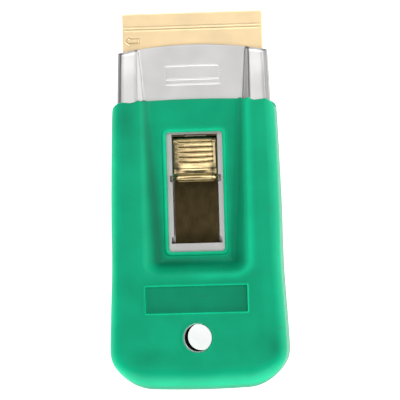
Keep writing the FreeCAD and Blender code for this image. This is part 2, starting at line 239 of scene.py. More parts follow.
def cells_of(number):
    """A quad for each cell of an array of point numbers, turning from its row to the next column."""
    return np.stack([number[:-1, :-1], number[:-1, 1:], number[1:, 1:], number[1:, :-1]], axis=-1)


def patch(columns, rows, holes=()):
    """Plan points and quads of a grid over columns and rows. Cells whose middle lies in a hole,
    given as (x0, x1, s0, s1), are left open."""
    x, s = np.meshgrid(columns, rows)
    middle_x = (x[:-1, :-1] + x[1:, 1:]) / 2
    middle_s = (s[:-1, :-1] + s[1:, 1:]) / 2
    keep = np.ones(middle_x.shape, bool)
    for x0, x1, s0, s1 in holes:
        keep &= ~((middle_x > x0) & (middle_x < x1) & (middle_s > s0) & (middle_s < s1))
    cells = cells_of(np.arange(x.size).reshape(x.shape))
    return np.column_stack([x.ravel(), s.ravel()]), cells[keep]


def plan_line(x, s):
    """Plan points along a grid line: one of x and s is a single number."""
    return np.column_stack(np.broadcast_arrays(x, s))


def loop_round(columns, rows, hole):
    """The plan points of the grid lines round a hole, anticlockwise."""
    x0, x1, s0, s1 = hole
    slack = 1e-6
    across = columns[(columns > x0 - slack) & (columns < x1 + slack)]
    along = rows[(rows > s0 - slack) & (rows < s1 + slack)]
    ahead = [plan_line(across, s0), plan_line(x1, along)]
    back = [plan_line(across[::-1], s1), plan_line(x0, along[::-1])]
    return np.concatenate([side[:-1] for side in ahead + back])


def onto_rounded(points, centre, half, radius):
    """The nearest points on a rounded rectangle: each point is drawn to the rectangle's core, which
    is one corner radius smaller, and set off from there by the radius."""
    core = np.asarray(half) - radius
    offset = points - centre
    inner = np.clip(offset, -core, core)
    away = offset - inner
    return centre + inner + away / np.linalg.norm(away, axis=1, keepdims=True) * radius


def strip_faces(rows, count, closed):
    """Quads between rows of points, each row count points long, facing left of the rows' order
    when it is seen along the row."""
    number = np.arange(rows * count).reshape(rows, count)
    if closed:
        number = np.pad(number, ((0, 0), (0, 1)), "wrap")
    return cells_of(number).reshape(-1, 4)[:, [0, 3, 2, 1]]


def ring(outer, inner, shares):
    """Plan points and quads between an inner and an outer loop, at these shares of the way out."""
    shares = np.asarray(shares)[:, None, None]
    points = inner + shares * (outer - inner)
    return points.reshape(-1, 2), strip_faces(len(shares), len(outer), True)


def fitted_ring(columns, rows, box, shape, shares):
    """A ring of quads between a hole, which is a rounded rectangle, and the grid lines of the box
    about it. shape gives the hole's two half sizes and its corner radius."""
    x0, x1, s0, s1 = box
    *half, radius = shape
    centre = np.array([(x0 + x1) / 2, (s0 + s1) / 2])
    loop = loop_round(columns, rows, box)
    return ring(loop, onto_rounded(loop, centre, half, radius), shares)


def joined(parts):
    """Several (points, quads) made one."""
    points = np.concatenate([p for p, _ in parts])
    starts = np.cumsum([0] + [len(p) for p, _ in parts[:-1]])
    return points, np.concatenate([q + start for (_, q), start in zip(parts, starts)])


def rim_quads(quads, count):
    """Quads that close the gap between a sheet and its copy, whose points come count later: one
    for each edge that only one quad uses."""
    edges = np.concatenate([quads[:, [k, (k + 1) % 4]] for k in range(4)])
    ordered = np.sort(edges, axis=1)
    _, first, times = np.unique(ordered, axis=0, return_index=True, return_counts=True)
    border = edges[first[times == 1]]
    return np.column_stack([border[:, 1], border[:, 0], border[:, 0] + count, border[:, 1] + count])


# Points in one cell of this size in millimetres are one point. The shift, a share of a cell, keeps
# round numbers away from the cells' walls.
WELD_CELL = 0.001
WELD_SHIFT = 0.37


def welded(points, quads):
    """The quads with every point that coincides with an earlier one, to a micrometre, given that
    one's number."""
    key = np.floor(points / WELD_CELL + WELD_SHIFT).astype(np.int64)
    _, first, where = np.unique(key, axis=0, return_index=True, return_inverse=True)
    return first[where.reshape(-1)][quads]


def shelled(outer, quads, inner):
    """A closed shell between a surface and its inner copy, both in metres: the border edges of
    the two, with coincident points of the outer one counted as one, are joined by quads."""
    quads = welded(outer / MM, quads)
    keep, quads = np.unique(quads, return_inverse=True)
    quads = quads.reshape(-1, 4)
    outer, inner = outer[keep], inner[keep]
    count = len(outer)
    faces = [quads, quads[:, ::-1] + count, rim_quads(quads, count)]
    return np.concatenate([outer, inner]), np.concatenate(faces)


def smooth_step(value, width=1):
    """0 below 0, 1 above the width, and 3v^2 - 2v^3 between, where v is value / width."""
    v = np.clip(value / width, 0, 1)
    return v * v * (3 - 2 * v)


def hump(distance, width):
    """A bell curve: e to the power of -(distance / width)^2."""
    return np.exp(-((distance / width) ** 2))


def smooth_min(a, b, reach):
    """The lesser of two heights, blended where they come within reach of each other."""
    h = np.clip(0.5 + 0.5 * (b - a) / reach, 0, 1)
    return b + (a - b) * h - reach * h * (1 - h)


def soft_ramp(value, width):
    """0 below -width, the value above width, and a parabola that joins them between."""
    middle = (value + width) ** 2 / (4 * width)
    return np.where(value < -width, 0, np.where(value > width, value, middle))


def roll_off(distance, radius):
    """How far a quarter circle has dropped at a distance from the edge it rounds."""
    run = np.clip(radius - distance, 0, radius)
    return radius - np.sqrt(radius**2 - run**2)


def box_distance(x, s, half_x, half_s, radius):
    """Distance out of a rounded rectangle about the origin, less than zero inside."""
    qx = np.abs(x) - (half_x - radius)
    qs = np.abs(s) - (half_s - radius)
    outside = np.hypot(np.maximum(qx, 0), np.maximum(qs, 0))
    return outside + np.minimum(np.maximum(qx, qs), 0) - radius


# Samples of a path in one averaging window.
WINDOW_PARTS = 40


def run_of(line):
    """The distance run along a line of points, up to each of them."""
    return np.concatenate([[0], np.cumsum(np.linalg.norm(np.diff(line, axis=0), axis=1))])


def points_at(places, run, line):
    """The points of a line at these distances along it."""
    return np.column_stack([np.interp(places, run, line[:, k]) for k in (0, 1)])


def smooth_path(corners, width, step):
    """A path through corners, resampled at even steps and averaged over a raised-cosine window of
    this width, so that each corner becomes a bend. Both ends run straight and stay in place."""
    corners = np.asarray(corners, float)
    legs = np.linalg.norm(np.diff(corners, axis=0), axis=1)
    start = corners[0] - (corners[1] - corners[0]) / legs[0] * width
    end = corners[-1] + (corners[-1] - corners[-2]) / legs[-1] * width
    corners = np.vstack([start, corners, end])
    run = run_of(corners)
    fine = np.arange(0, run[-1], width / WINDOW_PARTS)
    line = points_at(fine, run, corners)
    window = np.hanning(WINDOW_PARTS + 1)
    window /= window.sum()
    line = np.column_stack([np.convolve(line[:, k], window, "same") for k in (0, 1)])
    trim = width * 0.999
    line = line[(fine > trim) & (fine < run[-1] - trim)]
    run = run_of(line)
    return points_at(np.linspace(0, run[-1], ceil(run[-1] / step) + 1), run, line)


def normals_of(path):
    """Unit normals of a path in a plane, to the left of its direction."""
    slope = np.gradient(path, axis=0)
    slope /= np.linalg.norm(slope, axis=1, keepdims=True)
    return np.column_stack([-slope[:, 1], slope[:, 0]])


def folded_sheet(path, columns, thickness, lift=None):
    """A closed sheet carried across its width: every point of the path, given as (station, z), is
    repeated at every column, and the underside lies one thickness behind the path's normal. lift
    gives the height added to the upper face, for x and station."""
    x, row = np.meshgrid(columns, np.arange(len(path)))
    station, z = path[row.ravel(), 0], path[row.ravel(), 1]
    normal = normals_of(path)[row.ravel()]
    x = x.ravel()
    raised = z if lift is None else z + lift(x, station)
    outer = place(x, station, raised)
    inner = place(x, station - normal[:, 0] * thickness, z - normal[:, 1] * thickness)
    quads = strip_faces(len(path), len(columns), False)[:, ::-1]
    return shelled(outer, quads, inner)


def turned(profile, centre, count):
    """A closed ring: a closed outline of (radius, z) points turned about the upright axis through
    the centre."""
    turns = np.linspace(0, 2 * np.pi, count, endpoint=False)
    radius = np.repeat(profile[:, 0], count)
    angle = np.tile(turns, len(profile))
    x = centre[0] + radius * np.cos(angle)
    s = centre[1] + radius * np.sin(angle)
    points = place(x, s, np.repeat(profile[:, 1], count))
    number = np.arange(len(points)).reshape(len(profile), count)
    return points, cells_of(np.pad(number, (0, 1), "wrap")).reshape(-1, 4)


def linked(name, data):
    """A new object in the scene that holds this data."""
    item = bpy.data.objects.new(name, data)
    bpy.context.scene.collection.objects.link(item)
    return item


# In metres: points closer than the first are one, and edges shorter than the second go.
DOUBLE_GAP = 2e-7
SHORTEST_EDGE = 1e-8


def make_object(name, points, quads, material, smooth_angle=35.0):
    """A mesh object from points in metres and quads, welded where points coincide."""
    mesh = bpy.data.meshes.new(name)
    mesh.from_pydata(points.tolist(), [], quads.tolist())
    body = bmesh.new()
    body.from_mesh(mesh)
    bmesh.ops.remove_doubles(body, verts=body.verts, dist=DOUBLE_GAP)
    bmesh.ops.dissolve_degenerate(body, edges=body.edges, dist=SHORTEST_EDGE)
    body.to_mesh(mesh)
    body.free()
    mesh.polygons.foreach_set("use_smooth", np.ones(len(mesh.polygons), bool))
    mesh.set_sharp_from_angle(angle=radians(smooth_angle))
    mesh.materials.append(material)
    return linked(name, mesh)


def paint(item, name, values):
    """Store one number a vertex on the item, for its material to read. values gives it from x,
    station and z in millimetres."""
    mesh = item.data
    points = np.empty(len(mesh.vertices) * 3)
    mesh.vertices.foreach_get("co", points)
    points = points.reshape(-1, 3) / MM
    layer = mesh.attributes.new(name, "FLOAT", "POINT")
    layer.data.foreach_set("value", values(points[:, 0], points[:, 1] - REAR, points[:, 2]))


def finish_piece(item, body, slot, *nodes):
    """Set an item's body and hide the CAD nodes it stands for. slot is not used."""
    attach(item, body)
    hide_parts(*nodes)


# ---- the casing's form ----

REAR_CENTRE = CASING_REAR + REAR_CORNER
# Rows of points down a casing wall.
WALL_ROWS = 9


def casing_half(station):
    """Half the casing's width: it widens evenly from the nose to the rear corners."""
    return CASING_FRONT_HALF + SIDE_TAPER * (CASING_CORNER - np.maximum(station, REAR_CENTRE))


CORE_HALF = float(casing_half(REAR_CENTRE)) - REAR_CORNER


def fan(column, row, grow, reach):
    """Plan points on the casing grown by one amount. Columns are straight across the core and
    spread beyond it to the sides. In the rear corners a square is made a quarter disc: p and q
    become p sqrt(1 - q^2 / 2) and q sqrt(1 - p^2 / 2). Columns and rows there are given as if
    the corner's radius were reach."""
    p = np.clip((np.abs(column) - CORE_HALF) / reach, 0, 1)
    q = np.clip((REAR_CENTRE - row) / reach, 0, 1)
    back = q * np.sqrt(1 - p * p / 2)
    out = p * np.sqrt(1 - q * q / 2)
    station = np.where(q > 0, REAR_CENTRE - back * (REAR_CORNER + grow), row)
    wide = CORE_HALF + out * (casing_half(station) + grow - CORE_HALF)
    x = np.where(np.abs(column) > CORE_HALF, np.sign(column) * wide, column)
    return x, station


def corner_reach(x, s):
    """How far a plan point is from the casing's core, one corner radius inside its outline, and
    the share of that which is straight back, squared."""
    half = casing_half(s) - REAR_CORNER
    back = np.minimum(s - REAR_CENTRE, 0)
    reach = np.hypot(x - np.clip(x, -half, half), back)
    return reach, back**2 / np.maximum(reach, 1e-9) ** 2


def shoulder(station):
    """Height of the shoulders, which rise to a level handle."""
    slope = CHANNEL_TOP + RAIL_RISE + WEDGE_SLOPE * (CASING_CORNER - station)
    return smooth_min(slope, HANDLE_TOP, 0.6)


def into_trough(x, s, grow, end_slope=1.0):
    """How far a plan point lies inside the trough's rim, less than zero outside it. Distances from
    the trough's end are stretched by end_slope."""
    s = TROUGH_END + (s - TROUGH_END) * end_slope
    lean = (sqrt(2) - 1) * grow
    far = CASING_NOSE * 2
    middle = (TROUGH_END + lean + far) / 2
    return -box_distance(x, s - middle, TROUGH_HALF - lean, far - middle, TROUGH_CORNER)


def relief(x, s, grow, bends):
    """Height of the casing's upper face, grown by one amount: the shoulders, less a quarter circle
    round the outline, whose radius goes from the side's to the rear's, less the thumb trough.
    The trough's wall starts one set-in inside its rim and drops, a little steeper than one for one,
    to a level floor. Its two bends are parabolas. bends gives the set-in, the bends' half widths at
    the rim and at the foot, and the stretch at the trough's end."""
    reach, rearward = corner_reach(x, s)
    radius = EDGE_ROUND + (REAR_ROUND - EDGE_ROUND) * rearward + grow
    top = shoulder(s) + grow - roll_off(REAR_CORNER + grow - reach, radius)
    depth = shoulder(s) - CHANNEL_TOP
    set_in, rim_bend, foot_bend, end_slope = bends
    steep = np.minimum(depth / np.maximum(depth - set_in, 0.1), 1.25)
    inward = (into_trough(x, s, grow, end_slope) - set_in) * steep
    rim = np.minimum(rim_bend, 0.5 * depth)
    foot = np.minimum(foot_bend, 0.7 * depth)
    drop = soft_ramp(inward, rim) - soft_ramp(inward - depth, foot)
    return top - np.clip(drop, 0, depth)


def bowed(x, s, grow, front, sagitta):
    """Stations with the rear edge bowed out and the front edge drawn to an arc, each by the square
    of the way across, and fading out towards the middle."""
    share = (x / (casing_half(s) + grow)) ** 2
    rear = REAR_SAGITTA * share * (1 - smooth_step(s - CASING_REAR, 8))
    nose = sagitta * share * smooth_step(1 - (front - s) / 9)
    return s + rear - nose


def casing_skin(columns, rows, top_holes, top_rings, base_rings, face):
    """A closed shell shaped as the casing. The upper face is a grid over columns and rows, cut by
    holes and with a ring of quads round each shaped hole. A wall goes down from its border, and
    with base_rings a lower face closes the foot. face(surface, part, column, row, share) gives the
    points: surface is outer or inner, part is top, wall or base, and share is how far down."""
    top_plan, top_quads = joined([patch(columns, rows, top_holes)] + top_rings)
    left = plan_line(columns[0], rows[::-1])
    rear = plan_line(columns, rows[0])
    right = plan_line(columns[-1], rows)
    border = np.concatenate([left, rear[1:], right[1:]])
    shares = np.linspace(0, 1, WALL_ROWS)
    wall_plan = np.tile(border, (len(shares), 1))
    wall_share = np.repeat(shares, len(border))
    parts = [
        ("top", top_plan, np.zeros(len(top_plan)), top_quads),
        ("wall", wall_plan, wall_share, strip_faces(len(shares), len(border), False)),
    ]
    if base_rings is not None:
        holes, rings = base_rings
        base_plan, base_quads = joined([patch(columns, rows, holes)] + rings)
        parts.append(("base", base_plan, np.ones(len(base_plan)), base_quads[:, ::-1]))
    surfaces = []
    for side in ("outer", "inner"):
        points = [face(side, part, plan[:, 0], plan[:, 1], share) for part, plan, share, _ in parts]
        surfaces.append(np.concatenate(points))
    quads = joined([(plan, cells) for _, plan, _, cells in parts])[1]
    return shelled(surfaces[0], quads, surfaces[1])


# ---- shader maths ----


class Wire:
    """One output socket of a material's nodes. Arithmetic on wires adds Math nodes."""

    def __init__(self, tree, socket=None):
        self.tree = tree
        self.socket = socket

    def node(self, kind, values=None, output=0, **settings):
        """Add a node, set its settings first and then its sockets' values or links, and return the
        wire of one output."""
        made = self.tree.nodes.new(kind)
        for key, value in settings.items():
            setattr(made, key, value)
        for key, value in (values or {}).items():
            if isinstance(value, Wire):
                self.tree.links.new(value.socket, made.inputs[key])
            else:
                made.inputs[key].default_value = value
        return None if output is None else Wire(self.tree, made.outputs[output])

    def maths(self, operation, a, b):
        """A Math node on two values."""
        return self.node("ShaderNodeMath", {0: a, 1: b}, operation=operation)

    def __add__(self, other):
        return self.maths("ADD", self, other)

    __radd__ = __add__

    def __sub__(self, other):
        return self.maths("SUBTRACT", self, other)

    def __rsub__(self, other):
        return self.maths("SUBTRACT", other, self)

    def __mul__(self, other):
        return self.maths("MULTIPLY", self, other)

    __rmul__ = __mul__

    def band(self, low_end, high_end):
        """0 below the low end, 1 above the high end, smooth between."""
        values = {"Value": self, "From Min": low_end, "From Max": high_end}
        return self.node("ShaderNodeMapRange", values, interpolation_type="SMOOTHSTEP")

    def blend(self, a, b):
        """Colour a where this wire is 0 and colour b where it is 1."""
        return self.node("ShaderNodeMix", {0: self, 6: a, 7: b}, 2, data_type="RGBA")


def new_material(name):
    """An empty node material and a wire to start from."""
    made = bpy.data.materials.new(name)
    made.use_nodes = True
    made.node_tree.nodes.clear()
    return made, Wire(made.node_tree)


def coordinates(start, scale=(1, 1, 1)):
    """Object coordinates, stretched along each axis."""
    place_of = start.node("ShaderNodeTexCoord", output="Object")
    return start.node("ShaderNodeMapping", {"Vector": place_of, "Scale": scale})


def noise(start, size, detail=3.0, stretch=(1, 1, 1)):
    """Noise from 0 to 1 with features of one size in millimetres."""
    vector = coordinates(start, stretch)
    values = {"Vector": vector, "Scale": 1 / (size * MM), "Detail": detail}
    return start.node("ShaderNodeTexNoise", values)


def finish_material(start, constants, **wires):
    """A Principled shader: constants on its own sockets, wires for what varies."""
    values = dict(constants)
    values.update({key.replace("_", " "): wire for key, wire in wires.items()})
    shader = start.node("ShaderNodeBsdfPrincipled", values)
    start.node("ShaderNodeOutputMaterial", {"Surface": shader}, None)


def bump(start, height, distance, strength=1.0):
    """A Bump normal from a height wire, with its distance in millimetres."""
    values = {"Height": height, "Distance": distance * MM, "Strength": strength}
    return start.node("ShaderNodeBump", values)


def shade(colour, factor):
    """A colour made lighter or darker."""
    return tuple(min(1.0, c * factor) for c in colour) + (1.0,)


# ---- finishes ----

METAL = {"Metallic": 1.0}
# Painted dark reflection on the slide's leaf behind the pad.
DARK_LEAF_REFLECTION = (0.105, 0.072, 0.024, 1.0)
# Painted shadow inside the eyelet's bore.
BORE_SHADOW = (0.012, 0.016, 0.016, 1.0)


def toned_colour(start, colour):
    """A colour times the piece's painted tone, which carries its painted shade and highlights."""
    tone = start.node("ShaderNodeAttribute", output="Fac", attribute_name="tone")
    grey = start.node("ShaderNodeCombineColor", {0: tone, 1: tone, 2: tone})
    values = {0: 1.0, 6: colour, 7: grey}
    return start.node("ShaderNodeMix", values, 2, data_type="RGBA", blend_type="MULTIPLY")


def clouded(clouds, low_end, high_end, colour, dark, light):
    """A colour that clouds make darker or lighter, by these factors."""
    return clouds.band(low_end, high_end).blend(shade(colour, dark), shade(colour, light))


def axis_of(start, axis):
    """One of the object coordinates, in metres."""
    place_of = start.node("ShaderNodeTexCoord", output="Object")
    return start.node("ShaderNodeSeparateXYZ", {"Vector": place_of}, axis)


def moulded_green(settings):
    """Soft moulded plastic: faint clouding, a fine moulded grain and dull scuffs."""
    made, start = new_material("moulded_green")
    clouds = noise(start, 9.0, 2.0)
    scuffs = noise(start, 3.2, 4.0, (0.5, 1.4, 1)).band(0.66, 0.8)
    colour = clouded(clouds, 0.3, 0.75, settings.colour, 0.93, 1.06)
    colour = (scuffs * 0.5).blend(colour, shade(settings.scuff_colour, 1.0))
    colour = toned_colour(start, colour)
    grain = noise(start, 0.16, 2.0)
    dents = noise(start, 1.4, 2.0)
    rough = 0.36 + clouds * 0.08 + scuffs * 0.2
    normal = bump(start, grain * 0.35 + dents * 0.65, 0.05, 0.35)
    sheen = {"Specular IOR Level": 0.11}
    finish_material(start, sheen, Base_Color=colour, Roughness=rough, Normal=normal)
    return made


def plated_steel(name, colour, roughness=0.3, stretch=(0.05, 1, 0.2), toned=False):
    """Bright plated sheet: fine rolling lines, faint cloudy tarnish and a few dull specks. A toned
    one is also darkened by the piece's painted shade."""
    made, start = new_material(name)
    lines = noise(start, 0.14, 2.0, stretch)
    clouds = noise(start, 7.5, 3.0)
    specks = noise(start, 0.9, 3.0).band(0.7, 0.8)
    tint = clouded(clouds, 0.2, 0.85, colour, 0.95, 1.04)
    tint = (specks * 0.2).blend(tint, shade(colour, 0.6))
    if toned:
        tint = toned_colour(start, tint)
    rough = roughness + clouds * 0.05 + lines * 0.06 + specks * 0.12
    normal = bump(start, lines * 0.5 + clouds * 0.5, 0.012, 0.5)
    finish_material(start, METAL, Base_Color=tint, Roughness=rough, Normal=normal)
    return made


def satin_brass(colour):
    """Brushed pale brass: lines along the strip, warm clouding and a few handling marks."""
    made, start = new_material("satin_brass")
    lines = noise(start, 0.12, 2.0, (0.04, 1, 1))
    clouds = noise(start, 7.0, 3.0)
    marks = noise(start, 1.1, 4.0, (0.4, 1, 1)).band(0.68, 0.78)
    tint = clouded(clouds, 0.25, 0.8, colour, 0.93, 1.05)
    tint = (marks * 0.3).blend(tint, shade(colour, 0.62))
    rough = 0.4 + clouds * 0.08 + lines * 0.08
    normal = bump(start, lines * 0.5 + clouds * 0.5, 0.02, 0.6)
    finish_material(start, METAL, Base_Color=tint, Roughness=rough, Normal=normal)
    return made


def polished_brass(colour):
    """Polished yellow brass, painted dark brown on the leaf behind the pad as a dark reflection."""
    made, start = new_material("polished_brass")
    edge = PAD_BACK + REAR
    leaf = 1 - axis_of(start, "Y").band((edge - 0.3) * MM, (edge + 0.3) * MM)
    clouds = noise(start, 2.6, 3.0)
    lines = noise(start, 0.1, 2.0, (1, 0.05, 1))
    tint = clouded(clouds, 0.3, 0.75, colour, 0.85, 1.1)
    tint = toned_colour(start, (leaf * 0.86).blend(tint, DARK_LEAF_REFLECTION))
    rough = 0.12 + clouds * 0.08 + lines * 0.05
    normal = bump(start, lines * 0.3 + clouds * 0.7, 0.03, 0.3)
    finish_material(start, METAL, Base_Color=tint, Roughness=rough, Normal=normal)
    return made


def eyelet_steel(crown):
    """Plated rim above a bore painted dark as the shadow inside it. crown is the height of the rim's
    top.
    """
    made, start = new_material("eyelet_steel")
    bright = axis_of(start, "Z").band((crown - 1.2) * MM, (crown - 0.5) * MM)
    clouds = noise(start, 1.6, 3.0)
    tint = bright.blend(BORE_SHADOW, clouds.blend((0.42, 0.42, 0.42, 1.0), (0.55, 0.55, 0.54, 1.0)))
    rough = 0.75 - bright * 0.42 + clouds * 0.06
    normal = bump(start, clouds, 0.02, 0.5)
    wires = {"Base_Color": tint, "Metallic": bright, "Roughness": rough, "Normal": normal}
    finish_material(start, {"Specular IOR Level": 0.0}, **wires)
    return made


def studio_floor():
    """Matt pale board with a faint mottle."""
    made, start = new_material("pale_board")
    tint = noise(start, 40.0, 2.0).blend((0.93, 0.93, 0.93, 1.0), (0.96, 0.96, 0.96, 1.0))
    constants = {"Roughness": 0.9, "Specular IOR Level": 0.1, "Emission Strength": 0.9}
    finish_material(start, constants, Base_Color=tint, Emission_Color=tint)
    return made


def recoat(node, material):
    """Give a CAD node one material on all its slots."""
    item = frame["nodes"][node]
    if not item.material_slots:
        item.data.materials.append(material)
    for holder in item.material_slots:
        holder.material = material


# ---- pieces ----


def edge_arc(radius, count):
    """Distances from an edge that divide the quarter circle rounding it into equal arcs."""
    turns = np.linspace(0, np.pi / 2, count + 1)
    return radius * (1 - np.cos(turns))


# ---- the sleeve ----

# The trough's bends in each surface, as relief() takes them.
OUTER_BENDS = (0.7, 1.0, 1.3, 1.3)
INNER_BENDS = (0, 0.9, 0.5, 1.0)
STEEL_BENDS = (0, 0.5, 0.35, 1.0)
PANEL_HALF_X = 14.6
PANEL_HALF_S = 4.05
PANEL_CORNER = 0.6
PANEL_STATION = 25.35
BORDER_HEIGHT = 0.3
BEAD_HALF = 0.55
RIM_HALF = 0.35
RIM_HEIGHT = 0.16
HANG_RADIUS = 4.05
STEEL_HOLE = 4.2
# The square of the grids that a ring round the hang hole fills.
HANG_BOX = (-5.6, 5.6, HOLE_STATION - 5.6, HOLE_STATION + 5.6)
WINDOW_HALF_X = 7.9
WINDOW_REAR = SLOT_REAR - 2.3
WINDOW_FRONT = SLOT_FRONT + 0.6
WINDOW_CORNER = 0.8
WINDOW_MARGIN = 1.7
FRONT_ROUND = 0.7
FOOT_ROUND = 0.5
FRONT_CORNER = 2.0
# How far behind the front edge its corners and its bumps fade out.
FRONT_REACH = 5
SLEEVE_SAGITTA = 0.8
# How much narrower a side the sleeve is drawn, all along and at its waist.
PLAIN_PINCH = 0.25
WAIST_PINCH = 0.4
WAIST_STATION = 34.0
WAIST_LENGTH = 13
# Each bump's x, half width and how far it stands out.
FLASH = (
    (-15.3, 0.5, 0.4),
    (-13.6, 0.4, 0.35),
    (-17.5, 0.9, -0.2),
    (13.2, 0.6, 0.3),
    (15.6, 0.45, 0.4),
    (17.6, 0.8, -0.25),
    (20.6, 0.9, 0.25),
    (-20.4, 1.0, 0.2),
)
# By what share each place is painted darker, with painted shade and a darker panel field, or
# lighter, with painted highlights.
FOOT_SHADE = 0.55
FOOT_SHADE_LESS_RIGHT = 0.37
PANEL_DARKENING = 0.28
BEAD_HIGHLIGHT = 0.55
BORDER_HIGHLIGHT = 0.62
RIM_HIGHLIGHT = 0.05
RIM_HIGHLIGHT_MORE_RIGHT = 0.38
LEFT_EDGE_HIGHLIGHT = 0.72
RIGHT_EDGE_HIGHLIGHT = 0.1
REAR_CORNER_HIGHLIGHT = 0.62
LOW_WALL_SHADED_TONE = 0.72
# Each dark patch's x and station, its half width and half length, and how dark it is. The two at
# the front left are a painted reflection of the dark camera.
DARK_PATCHES = (
    (-19.5, 76.0, 3.6, 5.0, 0.26),
    (-17.5, 71.0, 2.0, 5.0, 0.08),
    (18.5, 15.0, 5.0, 5.5, 0.1),
    (-14.5, 9.5, 5.0, 2.5, 0.16),
    (21.5, 11.0, 2.4, 4.5, 0.26),
    (4.0, 33.0, 9.0, 2.0, 0.06),
    (-19.0, 30.0, 3.0, 6.0, 0.08),
    (19.0, 60.0, 2.5, 7.0, 0.06),
)


def window_distance(x, s):
    """Distance out of the sleeve's window, less than zero inside."""
    middle = (WINDOW_REAR + WINDOW_FRONT) / 2
    half_s = (WINDOW_FRONT - WINDOW_REAR) / 2
    return box_distance(x, s - middle, WINDOW_HALF_X, half_s, WINDOW_CORNER)


def panel_distance(x, s):
    """Distance out of the blank panel, less than zero inside."""
    return box_distance(x, s - PANEL_STATION, PANEL_HALF_X, PANEL_HALF_S, PANEL_CORNER)


def front_flash(x):
    """How far the moulded front edge stands out or back, in small rounded bumps."""
    return sum(rise * hump(x - at, width) for at, width, rise in FLASH)


def sleeve_tone(x, s, z, grow):
    """How light the sleeve's colour is, 1 for plain: painted shade along the trough's foot and low on
    the walls, a darker panel field and darker patches, and painted highlights on the outer edges, the
    rear corners, the trough's rim, the window's bead and the panel's border."""
    inward = into_trough(x, s, grow, OUTER_BENDS[3])
    depth = shoulder(s) - CHANNEL_TOP
    share = np.clip(depth / 3.3, 0.3, 1)
    right = smooth_step(x / 16 + 0.5)
    foot_shading = FOOT_SHADE - FOOT_SHADE_LESS_RIGHT * right * smooth_step(s - TROUGH_END, 8)
    foot = foot_shading * share * hump(inward - 0.9 * depth - 0.1, 0.3 * depth + 0.4)
    panel = panel_distance(x, s)
    field = PANEL_DARKENING * smooth_step(-0.3 - panel, 0.2)
    dark_patch = sum(
        dark * hump(x - at_x, wide) * hump(s - at_s, long) for at_x, at_s, wide, long, dark in DARK_PATCHES
    )
    rim = hump(inward + 0.3, 1.2) * (RIM_HIGHLIGHT + RIM_HIGHLIGHT_MORE_RIGHT * right)
    bead = BEAD_HIGHLIGHT * hump(window_distance(x, s) - 0.5, 0.9)
    border = BORDER_HIGHLIGHT * hump(panel + 0.15, 0.22)
    reach, rearward = corner_reach(x, s)
    edge = REAR_CORNER + grow - reach
    left_edge = LEFT_EDGE_HIGHLIGHT * smooth_step(3.9 - edge, 3.3) + 0.04
    right_edge = RIGHT_EDGE_HIGHLIGHT * smooth_step(7 - edge, 2) - 0.08 * smooth_step(1 - edge)
    edge_highlight = (1 - right) * left_edge + right * right_edge
    corner = REAR_CORNER_HIGHLIGHT * rearward**0.6 * smooth_step(1.15 - edge / 5.0)
    band = edge_highlight * (1 - rearward) + corner
    below = smooth_step(shoulder(s) + grow - 2.0 - z, 3.5) * smooth_step(2.6 - edge, 1.6)
    light = (1 + band + rim + bead + border) * (1 - below) + LOW_WALL_SHADED_TONE * below
    return (1 - foot - field - dark_patch) * light


def sleeve_details(x, s, settings):
    """Height added to the sleeve: half an ellipse round the window, a narrow raised border with a
    recessed field inside it, and a low rim round the hang hole."""
    across = np.clip((window_distance(x, s) - BEAD_HALF) / BEAD_HALF, -1, 1)
    bead = settings.bead_height * np.sqrt(1 - across**2)
    edge = panel_distance(x, s)
    border = BORDER_HEIGHT * smooth_step(0.08 - edge, 0.18)
    field = (BORDER_HEIGHT + settings.panel_depth) * smooth_step(-0.34 - edge, 0.16)
    ring_out = np.hypot(x, s - HOLE_STATION) - HANG_RADIUS
    rim = RIM_HEIGHT * np.sqrt(1 - np.clip((ring_out - 0.3) / RIM_HALF, -1, 1) ** 2)
    return bead + border - field + rim


